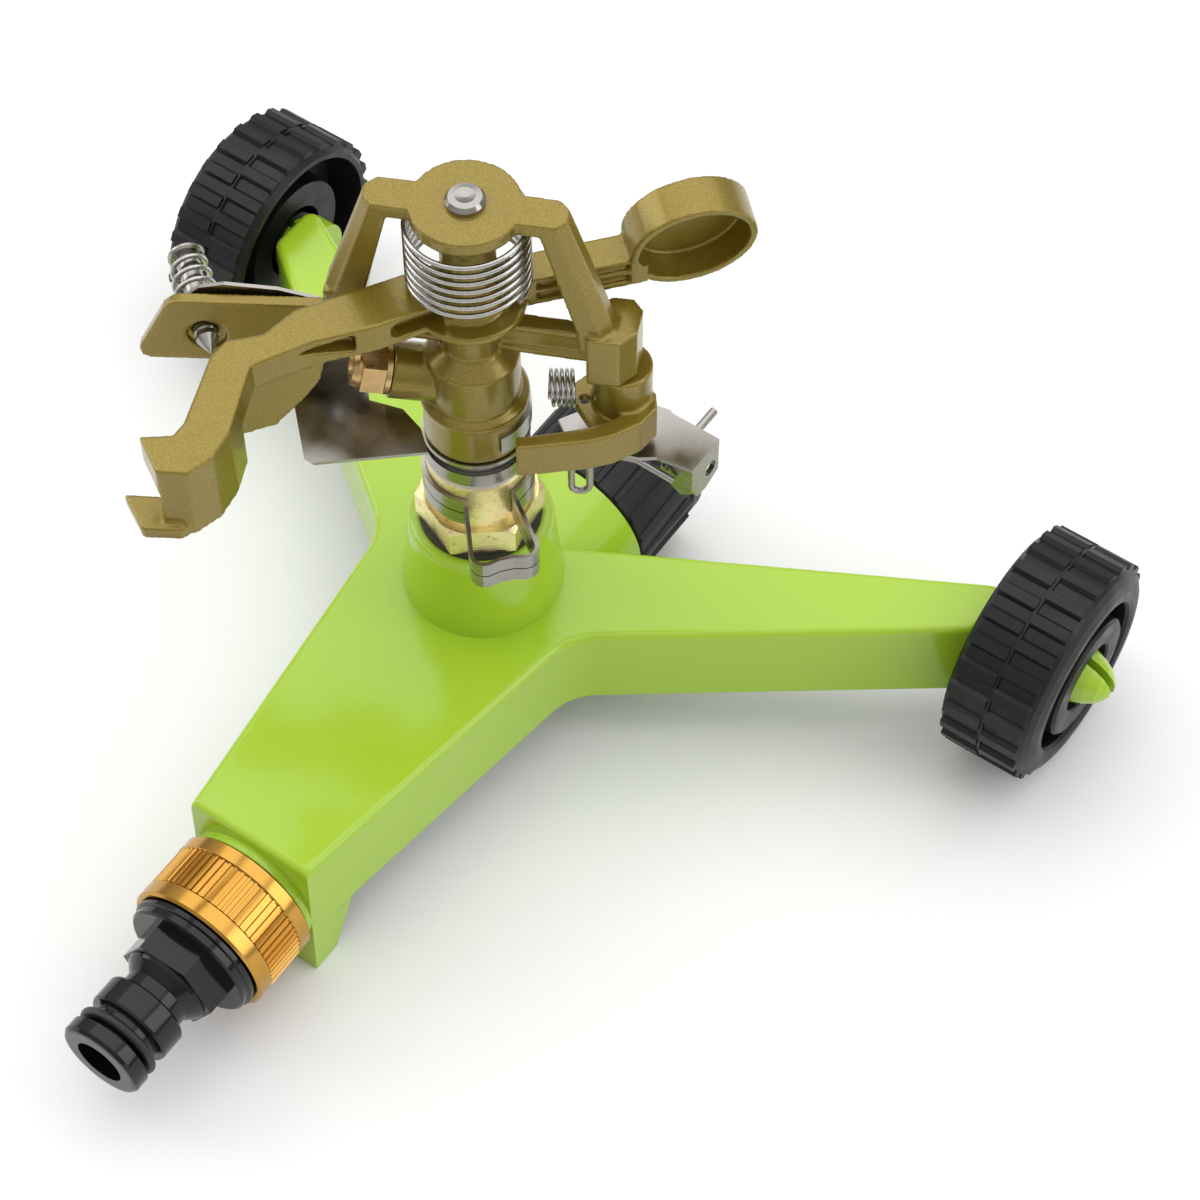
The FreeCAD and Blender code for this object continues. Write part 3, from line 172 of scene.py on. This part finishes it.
def nozzle_brass():
    shade = Shade("nozzle_brass", metallic=1.0)
    tone = shade.ramp(shade.noise(160.0, 4.0), [(0.30, (0.420, 0.270, 0.110)),
                                                (0.70, (0.650, 0.450, 0.210))])
    shade.colour(tone)
    shade.roughness(shade.spread(shade.noise(400.0, 3.0), 0.22, 0.40))
    shade.bump(shade.noise(350.0, 3.0), 0.2, 0.0002)
    return shade.material


def rolled_steel(name, colour, low, high, stretch):
    """Sheet or wire with faint drawn lines."""
    shade = Shade(name, metallic=1.0)
    lines = shade.noise(150.0, 2.0, 0.5, stretch)
    darker = tuple(0.86 * part for part in colour)
    shade.colour(shade.ramp(lines, [(0.30, darker), (0.65, colour)]))
    shade.roughness(shade.spread(lines, low, high))
    shade.bump(lines, 0.02, 0.0001)
    return shade.material


def gold_anodised():
    shade = Shade("gold_anodised", metallic=1.0)
    shade.colour(shade.ramp(shade.noise(45.0, 2.0), [(0.3, (0.470, 0.250, 0.045)),
                                                     (0.7, (0.560, 0.305, 0.066))]))
    shade.roughness(shade.spread(shade.noise(90.0, 2.0), 0.17, 0.23))
    shade.bump(shade.noise(300.0, 2.0), 0.02, 0.0001)
    return shade.material


def plain_seal(name, colour, low, high):
    shade = Shade(name)
    lighter = tuple(1.6 * part + 0.004 for part in colour)
    shade.colour(shade.ramp(shade.noise(90.0, 3.0), [(0.3, colour), (0.7, lighter)]))
    shade.roughness(shade.spread(shade.noise(300.0, 2.0), low, high))
    shade.bump(shade.noise(400.0, 2.0), 0.15, 0.0001)
    return shade.material


materials = {
    "shell_green": glossy_green(),
    "wheel_black": moulded_black("wheel_plastic", 0.34, 0.52, 700.0),
    "cap_black": moulded_black("cap_plastic", 0.36, 0.50, 600.0),
    "pipe_grey": moulded_black("pipe_plastic", 0.40, 0.55, 500.0),
    "nipple_black": moulded_black("nipple_plastic", 0.10, 0.17, 120.0),
    "nut_gold": gold_anodised(),
    "seal_black": plain_seal("black_rubber", (0.008, 0.008, 0.009), 0.40, 0.55),
    "brass_worn": worn_brass(),
    "washer_pale": plain_seal("pale_plastic", (0.420, 0.400, 0.350), 0.35, 0.50),
    "washer_navy": plain_seal("navy_plastic", (0.010, 0.016, 0.060), 0.35, 0.50),
    "stainless": rolled_steel("rolled_stainless", STEEL, 0.16, 0.32, (1.0, 1.0, 12.0)),
    "spring_steel": rolled_steel("drawn_wire", (0.520, 0.510, 0.490), 0.18, 0.30, (8.0, 8.0, 1.0)),
    "bronze_paint": bronze_paint(),
}
slot_of = {entry["node"]: entry["material_slot"] for entry in frame["record"]["subparts"]}


def paint(piece, material):
    piece.data.materials.clear()
    piece.data.materials.append(material)


for name, piece in nodes.items():
    paint(piece, materials[slot_of[name]])
paint(nodes["nozzle"], nozzle_brass())


# ---------------------------------------------------------------- surface finish

def smooth_faces(piece):
    for face in piece.data.polygons:
        face.use_smooth = True


def soften(name):
    """Round every edge of a cast piece: remesh it finely and relax the result."""
    piece = nodes[name]
    remesh = piece.modifiers.new("cast_skin", "REMESH")
    remesh.mode = "VOXEL"
    remesh.voxel_size = CAST_VOXEL
    remesh.use_smooth_shade = True
    relax = piece.modifiers.new("cast_relax", "SMOOTH")
    relax.factor = 0.5
    relax.iterations = CAST_PASSES


def bevel(name, width, segments=2):
    """Small rounded edges with clean flat faces between them."""
    piece = nodes[name]
    edge = piece.modifiers.new("edge_round", "BEVEL")
    edge.width = width
    edge.segments = segments
    edge.limit_method = "ANGLE"
    edge.angle_limit = SHARP_ANGLE
    edge.harden_normals = False
    smooth_faces(piece)
    even = piece.modifiers.new("even_shading", "WEIGHTED_NORMAL")
    even.keep_sharp = False


for name in ("head_casting", "hammer_arm", "trip_lever"):
    soften(name)
for name in ("wheel_left", "wheel_right", "end_cap", "hose_nipple", "water_manifold"):
    bevel(name, THICK_EDGE)
for name in ("bearing_nipple", "nozzle", "inlet_nut", "pivot_pin", "diffuser_screw"):
    bevel(name, MACHINED_EDGE)
for name in ("trip_collar_lower", "trip_collar_upper", "trip_shifter", "deflector_flap",
             "head_clip", "thrust_cup", "dust_cup", "trip_axle", "trip_pin", "trip_bush",
             "lower_washer", "seal_ring", "hub_washer", "base_gasket", "base_body"):
    bevel(name, SHEET_EDGE)
for name in ("arm_spring", "diffuser_spring", "trip_spring", "trip_wire", "nipple_o_ring", "pivot_tube"):
    smooth_faces(nodes[name])


# ---------------------------------------------------------------- floor, light and camera

def make_floor():
    bpy.ops.mesh.primitive_plane_add(size=FLOOR_SIZE, location=(0.0, 0.0, -FLOOR_DROP))
    floor = bpy.context.object
    floor.name = "floor"
    shade = Shade("pale_floor", roughness=0.6)
    shade.colour(shade.ramp(shade.noise(3.0), [(0.3, (0.86, 0.86, 0.86)),
                                               (0.7, (0.88, 0.88, 0.88))]))
    floor.data.materials.append(shade.material)


def make_world():
    """Bright room that is darker near the horizon, so that metal has something to reflect."""
    world = bpy.data.worlds.new("studio")
    scene.world = world
    world.use_nodes = True
    tree = world.node_tree
    back = tree.nodes["Background"]
    place = tree.nodes.new("ShaderNodeTexCoord")
    split = tree.nodes.new("ShaderNodeSeparateXYZ")
    ramp = tree.nodes.new("ShaderNodeValToRGB")
    stops = ramp.color_ramp.elements
    stops[0].position, stops[0].color = 0.0, (0.30, 0.30, 0.31, 1.0)
    stops[1].position, stops[1].color = 0.75, (1.0, 1.0, 1.0, 1.0)
    tree.links.new(place.outputs["Generated"], split.inputs["Vector"])
    tree.links.new(split.outputs["Z"], ramp.inputs["Fac"])
    tree.links.new(ramp.outputs["Color"], back.inputs["Color"])
    back.inputs["Strength"].default_value = SKY_STRENGTH


def area_light(name, place, target, size, power):
    data = bpy.data.lights.new(name, "AREA")
    data.shape = "RECTANGLE"
    data.size, data.size_y = size
    data.energy = power
    lamp = bpy.data.objects.new(name, data)
    scene.collection.objects.link(lamp)
    lamp.location = place
    lamp.rotation_mode = "QUATERNION"
    lamp.rotation_quaternion = (Vector(target) - Vector(place)).to_track_quat("-Z", "Y")


def make_camera():
    data = bpy.data.cameras.new("camera")
    data.sensor_width = SENSOR_MM
    data.lens = LENS_MM
    data.clip_start, data.clip_end = 0.01, 20.0
    camera = bpy.data.objects.new("camera", data)
    scene.collection.objects.link(camera)
    camera.location = CAMERA_PLACE
    camera.rotation_mode = "QUATERNION"
    camera.rotation_quaternion = (CAMERA_TARGET - CAMERA_PLACE).to_track_quat("-Z", "Y")
    scene.camera = camera


make_floor()
make_world()
area_light("overhead", (-0.10, 0.35, 1.00), (0.0, 0.0, 0.05), (1.6, 1.2), 6.0)
area_light("left_window", (-0.95, -0.25, 0.55), (0.0, 0.0, 0.06), (0.5, 0.8), 3.0)
area_light("right_fill", (0.90, 0.30, 0.50), (0.0, 0.0, 0.06), (0.4, 0.7), 2.0)
make_camera()

scene.view_settings.view_transform = "Standard"
bpy.context.view_layer.update()
